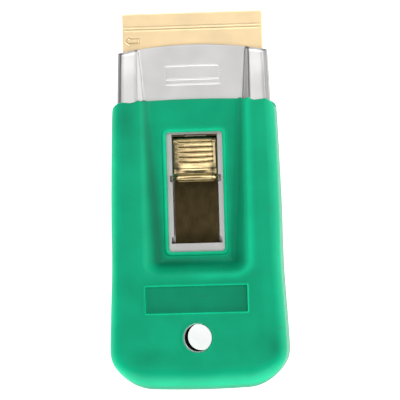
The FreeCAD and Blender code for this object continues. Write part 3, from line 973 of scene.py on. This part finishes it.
def make_sleeve(settings):
    """The sleeve: a shell shaped as the casing, grown by the fit and by the wall."""
    grow = SLEEVE_FIT + settings.wall
    reach = REAR_CORNER + grow
    side = CORE_HALF + reach
    wx, w0, w1 = WINDOW_HALF_X, WINDOW_REAR, WINDOW_FRONT
    margin = WINDOW_MARGIN
    inner_columns = (0, 0.8, HANG_BOX[1], 0.7, wx + margin, 0.4)
    border_columns = (PANEL_HALF_X - 0.7, 0.1, PANEL_HALF_X + 0.3, 0.25)
    straight = spaced(*inner_columns, *border_columns, 17, 0.7, side - 3.4)
    outside = side - edge_arc(EDGE_ROUND + grow, 9)[::-1]
    columns = mirrored(np.concatenate([straight, outside]))
    h0, h1 = HANG_BOX[2:]
    panel0, panel1 = PANEL_STATION - PANEL_HALF_S, PANEL_STATION + PANEL_HALF_S
    front = SLEEVE_LENGTH
    rear_rows = spaced(7.4, 0.5, h0, 0.75, h1, 0.3, panel0 - 0.3)
    panel_rows = spaced(panel0 - 0.3, 0.1, panel0 + 0.7, 0.6, panel1 - 0.7, 0.1, panel1 + 0.3)
    front_rows = spaced(
        panel1 + 0.3, 0.4, 30.9, 0.4, w0 - margin, 0.85, w1 + margin, 0.45, front - 0.8
    )
    middle = [rear_rows[:-1], panel_rows[:-1], front_rows]
    rearmost = edge_arc(REAR_ROUND + grow, 13)
    foremost = front - edge_arc(FRONT_ROUND, 5)[::-1]
    rows = np.concatenate([rearmost, *middle, foremost])

    window_box = (-wx - margin, wx + margin, w0 - margin, w1 + margin)
    bead_distances = np.array([0, 0.03, 0.1, 0.22, 0.38, 0.55, 0.75, 0.92, 1.04, 1.12, 1.35, 1.7])
    window_shape = (wx, (w1 - w0) / 2, WINDOW_CORNER)
    window_ring = fitted_ring(columns, rows, window_box, window_shape, bead_distances / margin)
    hole_shape = (HANG_RADIUS, HANG_RADIUS, HANG_RADIUS)
    rim_shares = [0, 0.02, 0.07, 0.15, 0.27, 0.4, 0.52, 0.6, 1.0]
    hang_ring = fitted_ring(columns, rows, HANG_BOX, hole_shape, rim_shares)
    base_ring = fitted_ring(columns, rows, HANG_BOX, hole_shape, [0, 0.1, 0.4, 1.0])

    def face(surface, part, c, r, share):
        outer = surface == "outer"
        lip = roll_off(front - r, FRONT_ROUND) if outer else 0
        size = (grow if outer else SLEEVE_FIT) - lip
        base = (CASING_LOW - grow + lip) if outer else CASING_LOW - SLEEVE_FIT
        foot = FOOT_ROUND if outer else 0.0
        if part == "base":
            x, s = fan(c, r, size - foot, reach)
            z = np.full(len(x), 1.0) * base
        else:
            x, s = fan(c, r, size, reach)
            z = relief(x, s, size, OUTER_BENDS if outer else INNER_BENDS)
            if part == "wall":
                turn = np.clip((share - 0.5) * 2, 0, 1) * np.pi / 2
                drop = np.minimum(share * 2, 1)
                x, s = fan(c, r, size - foot * (1 - np.cos(turn)), reach)
                z = z + (base + foot - z) * drop - foot * np.sin(turn)
        if part == "top" and outer:
            z = z + sleeve_details(x, s, settings)
        near = smooth_step(1 - (front - r) / FRONT_REACH)
        half = casing_half(s) + size
        s = s - near * roll_off(half - np.abs(x), FRONT_CORNER) * 0.9
        if part == "top":
            s = s + near * front_flash(x) * smooth_step(half - 0.1 - np.abs(x), 1.5)
        s = np.minimum(bowed(x, s, size, front, SLEEVE_SAGITTA), front)
        if outer:
            waist = PLAIN_PINCH + WAIST_PINCH * hump(s - WAIST_STATION, WAIST_LENGTH)
            x = x * (1 - waist * x**2 / half**3)
        return place(x, s, z)

    holes = [window_box, HANG_BOX]
    lower = ([HANG_BOX], [base_ring])
    points, quads = casing_skin(columns, rows, holes, [window_ring, hang_ring], lower, face)
    item = make_object("grip_sleeve_skin", points, quads, moulded_green(settings))
    paint(item, "tone", lambda x, s, z: sleeve_tone(x, s, z, grow))
    finish_piece(item, "housing", "sleeve", "grip_sleeve")


# ---- the casing ----

BLADE_MARK = ((-7.5, -2.6), (7.5, -2.6), (7.5, 2.6), (-7.5, 2.6))
SPINE_MARK = ((-7.5, -2.6), (7.5, -2.6), (7.5, -1.2), (-7.5, -1.2))
MARK_STATION = 87.8
MARK_DEPTH = 0.033
STEEL_ROUND = 0.14
# How deep the rails' front slope drops, as a share of its length's quarter circle.
BEVEL_SHARE = 0.42
# By what share each place is darkened.
WALL_SHADE = 0.7
SLOPE_SHADE = 0.6
NOSE_SHADE = 0.35
RAIL_SHADE = 0.1
WINDOW_SHADE = 0.22


def casing_tone(x, s, z):
    """How light the steel is, 1 for plain: painted shade down the outer walls, on the rails and most on
    their inner slopes, along the front edge, and from the sleeve's window backwards."""
    wall = smooth_step(2.1 - casing_half(s) + np.abs(x), 1.5)
    inward = into_trough(x, s, 0)
    depth = shoulder(s) - CHANNEL_TOP
    slope = smooth_step(inward + 0.6, 0.5) * smooth_step(1.1 * depth + 0.2 - inward, 0.4)
    rail = smooth_step(0.2 - inward, 0.6)
    behind_nose = CASING_NOSE - NOSE_SAGITTA * (x / casing_half(s)) ** 2 - s
    edge = smooth_step(0.22 - behind_nose, 0.15)
    window = smooth_step(WINDOW_FRONT + 1 - s)
    shades = (WALL_SHADE, SLOPE_SHADE, NOSE_SHADE, RAIL_SHADE, WINDOW_SHADE)
    places = (wall, slope, edge, rail, window)
    return np.prod([1 - share * amount for share, amount in zip(shades, places)], axis=0)


def segment_distance(x, s, corners):
    """Distance from each point to the nearest side of a closed outline."""
    corners = np.asarray(corners)
    nearest = np.full(np.shape(x), 1e9)
    for (x0, s0), (x1, s1) in zip(corners, np.roll(corners, -1, axis=0)):
        length = (x1 - x0) ** 2 + (s1 - s0) ** 2
        along = np.clip(((x - x0) * (x1 - x0) + (s - s0) * (s1 - s0)) / length, 0, 1)
        gap = np.hypot(x - x0 - along * (x1 - x0), s - s0 - along * (s1 - s0))
        nearest = np.minimum(nearest, gap)
    return nearest


def blade_mark(x, s):
    """Depth of the stamped outline of a blade: a groove along the outline and its spine."""
    away = [segment_distance(x, s - MARK_STATION, mark) for mark in (BLADE_MARK, SPINE_MARK)]
    return MARK_DEPTH * smooth_step(0.26 - np.minimum(*away), 0.18)


def make_casing(settings):
    """The casing: its form as a shell one sheet thick, open below and cut by slot and notches."""
    reach = REAR_CORNER
    side = CORE_HALF + reach
    notch_columns = (SLOT_HALF, 0.12, NOTCH_HALF, 0.12)
    straight = spaced(0, 0.5, 6.1, 0.3, *notch_columns, 7.9, 0.7, 10.8, 0.28, 16.6, 0.7, side - 1.5)
    columns = mirrored(np.concatenate([straight, side - edge_arc(EDGE_ROUND, 6)[::-1]]))
    h0, h1 = HANG_BOX[2:]
    ears = (EAR_FRONT + EAR_GAP - NOTCH_LENGTH, EAR_FRONT + EAR_GAP)
    front = CASING_NOSE
    travel = -frame["joints"][0]["range_m"][0] / MM
    far = (max(ears[0] - travel, SLOT_REAR), ears[1] - travel)
    rear_rows = spaced(CASING_REAR + 6, 1, h0, 1.5, h1, 1.5, 30, 0.5, SLOT_REAR)
    slot_rows = spaced(SLOT_REAR, 0.9, far[1], 1, ears[0], 0.9, ears[1], 0.9, SLOT_FRONT)
    front_rows = spaced(
        SLOT_FRONT, 0.8, 80, 0.6, 84.8, 0.13, 91, 0.45, front - 1.4, 0.14, front - 0.3
    )
    rearmost = CASING_REAR + edge_arc(REAR_ROUND, 7)
    middle = [rear_rows, slot_rows, front_rows]
    rows = np.unique(np.round(np.concatenate([rearmost, *middle, [front - 0.08, front]]), 6))
    hole_shape = (STEEL_HOLE, STEEL_HOLE, STEEL_HOLE)
    hang_ring = fitted_ring(columns, rows, HANG_BOX, hole_shape, [0, 0.3, 0.65, 1.0])
    slot = (-SLOT_HALF, SLOT_HALF, SLOT_REAR, SLOT_FRONT)
    notches = [(-NOTCH_HALF, NOTCH_HALF, a, b) for a, b in (far, ears)]

    def face(surface, part, c, r, share):
        outer = surface == "outer"
        size = 0.0 if outer else -SHEET
        x, s = fan(c, r, size, reach)
        z = relief(x, s, size, STEEL_BENDS)
        rail = np.clip((z - size - CHANNEL_TOP) / 0.5, 0, 1)
        bevel = roll_off(front - s, settings.nose_bevel) * BEVEL_SHARE * rail
        rounded = roll_off(front - s, STEEL_ROUND) if outer else 0
        z = z - bevel * (1.0 if outer else 0.7) - rounded
        if outer and part == "top":
            z = z - blade_mark(x, s)
        if part == "wall":
            z = z + (CASING_LOW - z) * share
        s = bowed(x, s, size, front, NOSE_SAGITTA)
        return place(x, s, z)

    holes = [HANG_BOX, slot, *notches]
    points, quads = casing_skin(columns, rows, holes, [hang_ring], None, face)
    steel = plated_steel("plated_steel", settings.colour, toned=True)
    item = make_object("casing_skin", points, quads, steel)
    paint(item, "tone", casing_tone)
    finish_piece(item, "housing", "steel", "top_shell")
    recoat("bottom_plate", plated_steel("plate_steel", settings.colour))


# ---- the carrier ----

ARROW_LENGTH = 3.8
ARROW_HEAD = 2.1
ARROW_SHAFT = 1.15
ARROW_BACK = 7.6
ARROW_INSET = 0.8
GROOVE_BACK = 4.15
# The cover's rear flange, its step up, its fine columns round the arrow and its rounded edges.
COVER_FLANGE = 3.1
COVER_STEP = 0.35
ARROW_COLUMN = 0.11
COVER_FRONT_ROUND = 0.22
COVER_SIDE_ROUND = 0.2


def arrow_outline():
    """Corners of an arrow that points to the closed end of the carrier."""
    tip = -CARRIER_HALF + ARROW_INSET
    neck = tip + ARROW_HEAD * 0.55
    end = tip + ARROW_LENGTH
    middle = CARRIER_NOSE - ARROW_BACK
    barb, shaft = ARROW_HEAD / 2, ARROW_SHAFT / 2
    plan = [(tip, 0), (neck, barb), (neck, shaft), (end, shaft)]
    plan += [(end, -shaft), (neck, -shaft), (neck, -barb)]
    return [(x, middle + s) for x, s in plan]


def make_carrier(settings):
    """The carrier's cover, a folded sheet with a groove and an arrow, and the finish of its mates."""
    brass = satin_brass(settings.colour)
    half = CARRIER_HALF
    low_top = low("carrier_cover")[2] + BRASS_SHEET
    step = COVER_BACK + COVER_FLANGE
    arrow = arrow_outline()
    groove = CARRIER_NOSE - GROOVE_BACK
    corners = [(COVER_BACK, low_top), (step, low_top)]
    corners += [(step + COVER_STEP, COVER_TOP), (CARRIER_NOSE, COVER_TOP)]
    path = smooth_path(corners, 0.6, 0.12)
    past_arrow = -half + ARROW_INSET + ARROW_LENGTH + 0.6
    left = (-half, 0.06, -half + 0.4, ARROW_COLUMN, past_arrow)
    columns = spaced(*left, 0.8, half - 0.4, 0.08, half)

    def lift(x, s):
        line_gap = segment_distance(x, s, arrow)
        stamp = -settings.arrow_depth * smooth_step(0.24 - line_gap, 0.16)
        halo = 0.03 * smooth_step(0.55 - line_gap, 0.3)
        cross = np.abs(s - groove)
        dip = hump(cross - 0.4, 0.19)
        swell = 0.3 * hump(cross, 0.3)
        front_round = roll_off(CARRIER_NOSE - s, COVER_FRONT_ROUND)
        side_round = roll_off(half - np.abs(x), COVER_SIDE_ROUND)
        fade = smooth_step(half - 0.5 - np.abs(x), 0.5)
        bead = (swell - dip) * settings.groove_depth * fade
        return bead + stamp + halo * (line_gap > 0.12) - front_round - side_round

    points, quads = folded_sheet(path, columns, BRASS_SHEET, lift)
    item = make_object("carrier_cover_skin", points, quads, brass)
    finish_piece(item, "carrier", "brass", "carrier_cover")
    recoat("carrier_base", brass)
    recoat("carrier_rivets", brass)
    recoat("blade", plated_steel("blade_steel", (0.6, 0.6, 0.62), 0.22, (1, 0.05, 1)))
    recoat("blade_spine", plated_steel("spine_steel", (0.5, 0.5, 0.52), 0.3))


# ---- the thumb slide and its spring ----

# The slide's path and its grooves across it.
PAD_DROP = 0.6
FIRST_GROOVE = 1.55
GROOVE_PITCH = 1.42
GROOVE_WIDTH = 0.2
GROOVE_END = 5.25
DISH_DEPTH = 0.16
DISH_HALF_X = 3.6
DISH_HALF_S = 1.15
DISH_STATION = PAD_BACK + 3.3
# By what share painted shade and painted dark reflections darken each place on the slide.
BORDER_SHADE = 0.4
HOLLOW_SHADE = 0.88
PAD_NOSE_SHADE = 0.68
GROOVE_SHADE = 0.5
LEAF_REAR_SHADE = 0.55
LEAF_FRONT_SHADE = 0.3
# The lock spring's sheet thickness, half width and root length, and its ears' width and length.
SPRING_SHEET = 0.3
SPRING_HALF = 3.0
SPRING_ROOT = 3.0
EAR_WIDTH = 0.7
EAR_LENGTH = 1.2


def slide_path():
    """The slide's profile from the back of its leaf: level, up the rear lip, over its rolled top,
    down into the dish, up the pad and round the nose."""
    leaf = LEAF_LOW + BRASS_SHEET
    pad = LIP_TOP - PAD_DROP
    corners = [
        (LEAF_BACK, leaf),
        (PAD_BACK, leaf),
        (PAD_BACK, LIP_TOP - 0.42),
        (PAD_BACK + 0.35, LIP_TOP + 0.06),
        (PAD_BACK + 1.25, LIP_TOP - 0.02),
        (PAD_BACK + 1.9, pad - 0.2),
        (PAD_BACK + 3.2, pad - 0.6),
        (PAD_BACK + 4.8, pad - 0.5),
        (PAD_FRONT - 1.5, pad + 0.02),
        (PAD_FRONT - 0.45, pad - 0.35),
        (PAD_FRONT, pad - 1.1),
        (PAD_FRONT, LEAF_LOW + 0.35),
    ]
    return smooth_path(corners, 0.75, 0.11)


def spring_form():
    """The leaf spring: a level root, a rising run and a level tip, carried across its width, and a
    crosspiece whose ends fold up into the two ears."""
    root_top = low("lock_spring")[2] + SPRING_SHEET
    tip_top = LEAF_LOW
    back, front = low("lock_spring")[1] - REAR, high("lock_spring")[1] - REAR
    corners = [(back, tip_top), (EAR_FRONT, tip_top)]
    corners += [(front - SPRING_ROOT, root_top), (front, root_top)]
    path = smooth_path(corners, 0.8, 0.25)
    across = mirrored(spaced(0, 0.5, SPRING_HALF))
    leaf = folded_sheet(path, across, SPRING_SHEET)
    arm = high("lock_spring")[0] - EAR_WIDTH / 2 - SPRING_SHEET / 2
    top = high("lock_spring")[2]
    outline = smooth_path([(-arm, top), (-arm, tip_top), (arm, tip_top), (arm, top)], 0.3, 0.1)
    stations = np.linspace(EAR_FRONT - EAR_LENGTH, EAR_FRONT, 7)
    row, s = np.meshgrid(np.arange(len(outline)), stations, indexing="ij")
    row, s = row.ravel(), s.ravel()
    x, z = outline[row].T
    normal = normals_of(outline)[row] * SPRING_SHEET
    outer = place(x, s, z)
    inner = place(x - normal[:, 0], s, z - normal[:, 1])
    quads = strip_faces(len(outline), len(stations), False)
    return joined([leaf, shelled(outer, quads, inner)])


def make_slide(settings):
    """The thumb slide, a folded sheet with cross grooves, and the lock spring under it."""
    brass = polished_brass(settings.colour)
    half = SLIDE_HALF
    columns = mirrored(spaced(0, 0.4, 4.2, 0.14, half - 0.35, 0.07, half))
    centres = [PAD_FRONT - FIRST_GROOVE - k * GROOVE_PITCH for k in range(settings.groove_count)]

    def grooves(x, s):
        sag = 0.02 * x**2
        down = np.zeros(np.shape(x))
        for k, centre in enumerate(centres):
            curve = sag * (k / 4) ** 2 * 0.6
            down += hump(s - centre - curve, GROOVE_WIDTH)
        return down * smooth_step(GROOVE_END - np.abs(x), 0.9)

    def lift(x, s):
        out = np.hypot(x / DISH_HALF_X, (s - DISH_STATION) / DISH_HALF_S)
        dish = DISH_DEPTH * np.exp(-(out**3))
        crown = 0.004 * x**2 * smooth_step(s - PAD_BACK - 0.5, 1.0)
        corner = np.maximum(np.abs(x) - 4.6, 0) ** 2 * 0.22
        corner = corner * smooth_step(PAD_BACK + 2.2 - s, 0.8) * (s > PAD_BACK - 0.1)
        side = roll_off(half - np.abs(x), 0.3) * (s > PAD_BACK - 0.1)
        return -settings.groove_depth * grooves(x, s) - dish - crown - corner - side

    # Painted dark reflections on the side borders and the hollow's sides, and painted shade on the
    # nose, in the grooves and on the leaf under the casing and behind the pad.
    def tone(x, s, z):
        border = smooth_step(np.abs(x) - 4.5, 0.5)
        hollow = hump(np.abs(x) - 4.8, 1.0) * hump(s - PAD_BACK - 3.1, 1.25)
        nose = smooth_step(s - PAD_FRONT + 1.4, 0.5)
        pad = (1 - BORDER_SHADE * border) * (1 - HOLLOW_SHADE * hollow) * (1 - PAD_NOSE_SHADE * nose)
        pad = pad * (1 - GROOVE_SHADE * np.clip(grooves(x, s), 0, 1))
        leaf = 1 - LEAF_REAR_SHADE * smooth_step(SLOT_REAR + 5 - s, 5)
        leaf = leaf - LEAF_FRONT_SHADE * smooth_step(s - PAD_BACK + 4, 4)
        return np.where(s > PAD_BACK - 0.4, pad, leaf)

    points, quads = folded_sheet(slide_path(), columns, BRASS_SHEET, lift)
    item = make_object("thumb_slide_skin", points, quads, brass, 60.0)
    paint(item, "tone", tone)
    finish_piece(item, "thumb", "slide_brass", "thumb_slide")

    spring = plated_steel("spring_steel", (0.62, 0.55, 0.42), 0.2)
    points, quads = spring_form()
    item = make_object("lock_spring_skin", points, quads, spring)
    finish_piece(item, "carrier", "spring_steel", "lock_spring")
    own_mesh(item)
    recoat("spring_rivets", spring)
    recoat("slide_studs", spring)


# ---- the eyelet ----

EYELET_SHEET = 0.3


def rounded_outline(corners, radius, count):
    """A closed outline with each corner made a short curve: points of the quadratic between two
    points one radius before and after the corner, pulled to the corner."""
    before, after = np.roll(corners, 1, axis=0), np.roll(corners, -1, axis=0)
    back = before - corners
    ahead = after - corners
    start = corners + back / np.linalg.norm(back, axis=1, keepdims=True) * radius
    end = corners + ahead / np.linalg.norm(ahead, axis=1, keepdims=True) * radius
    t = np.linspace(0, 1, count)[None, :, None]
    curve = (1 - t) ** 2 * start[:, None] + 2 * t * (1 - t) * corners[:, None] + t**2 * end[:, None]
    return curve.reshape(-1, 2)


def make_eyelet():
    """The eyelet: a flanged tube, turned about the middle of the hang hole."""
    foot, crown = low("hang_eyelet")[2], high("hang_eyelet")[2]
    outer, sheet = high("hang_eyelet")[0], EYELET_SHEET
    bore, barrel = HANG_RADIUS - 0.25, HANG_RADIUS + 0.15
    outside = [(barrel, foot + sheet), (barrel, crown - sheet), (outer, crown - sheet)]
    outside += [(outer, crown), (bore, crown)]
    inside = [(bore, foot), (outer, foot), (outer, foot + sheet)]
    outline = np.array(outside + inside)
    points, quads = turned(rounded_outline(outline, 0.14, 4), (0, HOLE_STATION), 72)
    item = make_object("hang_eyelet_skin", points, quads, eyelet_steel(crown))
    finish_piece(item, "housing", "eyelet", "hang_eyelet")


# ---- the stage ----

# The point in millimetres that the camera looks at.
VIEW_AIM = (1.25, 0.1, 8.0)
SENSOR = 36.0
WORLD_LIGHT = 0.09
# The floor's half width in metres, and how far below the scraper it lies in millimetres.
FLOOR_HALF = 1.2
FLOOR_DROP = 0.02
# Each lamp's bearing from +X and its rise in degrees, its distance, its width and height in
# metres, and its power in watts.
LAMPS = {
    "key": (40, 52, 0.9, (0.55, 0.55), 4.0),
    "top": (120, 62, 0.9, (0.5, 0.4), 1.4),
    "over": (268, 75, 0.9, (0.26, 0.3), 0.8),
    "fore": (92, 57, 0.9, (0.32, 0.16), 0.35),
    "right": (0, 14, 0.75, (0.9, 0.3), 3.3),
    "rear": (270, 14, 0.75, (0.9, 0.3), 4.6),
    "left": (180, 14, 0.75, (0.8, 0.3), 1.5),
    "front": (90, 18, 0.8, (0.6, 0.25), 0.5),
}


def make_stage(scene, settings):
    """The floor, an even world light, the lamps and the camera."""
    lines = np.linspace(-FLOOR_HALF, FLOOR_HALF, 9) / MM
    plan, quads = patch(lines, lines)
    points = place(plan[:, 0], plan[:, 1], np.full(len(plan), -FLOOR_DROP))
    floor = make_object("floor", points, quads, studio_floor())

    world = bpy.data.worlds.new("studio")
    world.use_nodes = True
    background = world.node_tree.nodes["Background"]
    background.inputs["Color"].default_value = (1.0, 1.0, 1.0, 1.0)
    background.inputs["Strength"].default_value = WORLD_LIGHT
    scene.world = world

    for name, (turn, rise, distance, size, power) in LAMPS.items():
        lamp = bpy.data.lights.new(name, "AREA")
        lamp.shape = "RECTANGLE"
        lamp.size, lamp.size_y = size
        lamp.energy = power
        turn, rise = radians(turn), radians(rise)
        spot = Vector((cos(turn) * cos(rise), sin(turn) * cos(rise), sin(rise))) * distance
        holder = linked(name, lamp)
        holder.location = spot
        holder.rotation_mode = "QUATERNION"
        holder.rotation_quaternion = (-spot).to_track_quat("-Z", "Y")

    lens = bpy.data.cameras.new("camera")
    lens.sensor_width = SENSOR
    lens.lens = SENSOR * settings.distance / settings.view_width
    lens.clip_start = 0.01
    lens.clip_end = 20.0
    camera = linked("camera", lens)
    back = Vector((sin(settings.tilt), 0.0, cos(settings.tilt)))
    up = Vector((sin(settings.roll), cos(settings.roll), 0.0))
    right = up.cross(back).normalized()
    up = back.cross(right)
    turn = Matrix((right, up, back)).transposed()
    aim = Vector(VIEW_AIM) * MM
    camera.rotation_mode = "QUATERNION"
    camera.rotation_quaternion = turn.to_quaternion()
    camera.location = aim + back * settings.distance
    scene.camera = camera
    scene.view_settings.view_transform = "Standard"


# ---- operators ----


class SCRAPER_OT_grip_sleeve(Operator):
    """Make the moulded grip sleeve"""

    bl_idname = "scraper.grip_sleeve"
    bl_label = "Grip sleeve"

    def execute(self, context):
        make_sleeve(context.scene.scraper_sleeve)
        return {"FINISHED"}


class SCRAPER_OT_casing(Operator):
    """Make the pressed steel casing and finish the plate inside it"""

    bl_idname = "scraper.casing"
    bl_label = "Steel casing"

    def execute(self, context):
        make_casing(context.scene.scraper_casing)
        return {"FINISHED"}


class SCRAPER_OT_carrier(Operator):
    """Make the carrier's cover plate and finish its other parts"""

    bl_idname = "scraper.carrier"
    bl_label = "Blade carrier"

    def execute(self, context):
        make_carrier(context.scene.scraper_carrier)
        return {"FINISHED"}


class SCRAPER_OT_thumb_slide(Operator):
    """Make the thumb slide and its lock spring"""

    bl_idname = "scraper.thumb_slide"
    bl_label = "Thumb slide"

    def execute(self, context):
        make_slide(context.scene.scraper_slide)
        return {"FINISHED"}


class SCRAPER_OT_hang_eyelet(Operator):
    """Make the eyelet of the hang hole"""

    bl_idname = "scraper.hang_eyelet"
    bl_label = "Hang eyelet"

    def execute(self, context):
        make_eyelet()
        return {"FINISHED"}


class SCRAPER_OT_stage(Operator):
    """Make the floor, the lights and the camera"""

    bl_idname = "scraper.stage"
    bl_label = "Stage"

    def execute(self, context):
        make_stage(context.scene, context.scene.scraper_stage)
        return {"FINISHED"}


class SCRAPER_PT_panel(Panel):
    """Lists the scraper's pieces"""

    bl_idname = "SCRAPER_PT_panel"
    bl_label = "Blade scraper"
    bl_space_type = "VIEW_3D"
    bl_region_type = "UI"
    bl_category = "Scraper"

    def draw(self, context):
        for name in SETTINGS:
            holder = getattr(context.scene, name)
            box = self.layout.box()
            box.label(text=name.split("_")[1].capitalize())
            for key in holder.__annotations__:
                box.prop(holder, key)
        for operator in OPERATORS:
            self.layout.operator(operator.bl_idname)


SETTINGS = {
    "scraper_sleeve": SleeveSettings,
    "scraper_casing": CasingSettings,
    "scraper_carrier": CarrierSettings,
    "scraper_slide": SlideSettings,
    "scraper_stage": StageSettings,
}
OPERATORS = (
    SCRAPER_OT_grip_sleeve,
    SCRAPER_OT_casing,
    SCRAPER_OT_carrier,
    SCRAPER_OT_thumb_slide,
    SCRAPER_OT_hang_eyelet,
    SCRAPER_OT_stage,
)
CLASSES = (*SETTINGS.values(), *OPERATORS, SCRAPER_PT_panel)


def register():
    """Register the classes and hang the settings on the scene."""
    for made in CLASSES:
        bpy.utils.register_class(made)
    for name, group in SETTINGS.items():
        setattr(bpy.types.Scene, name, PointerProperty(type=group))


def unregister():
    """Undo register."""
    for name in SETTINGS:
        delattr(bpy.types.Scene, name)
    for made in reversed(CLASSES):
        bpy.utils.unregister_class(made)


def main():
    """Make every piece and the stage."""
    register()
    bpy.ops.scraper.grip_sleeve()
    bpy.ops.scraper.casing()
    bpy.ops.scraper.carrier()
    bpy.ops.scraper.thumb_slide()
    bpy.ops.scraper.hang_eyelet()
    bpy.ops.scraper.stage()


if __name__ == "__main__":
    main()
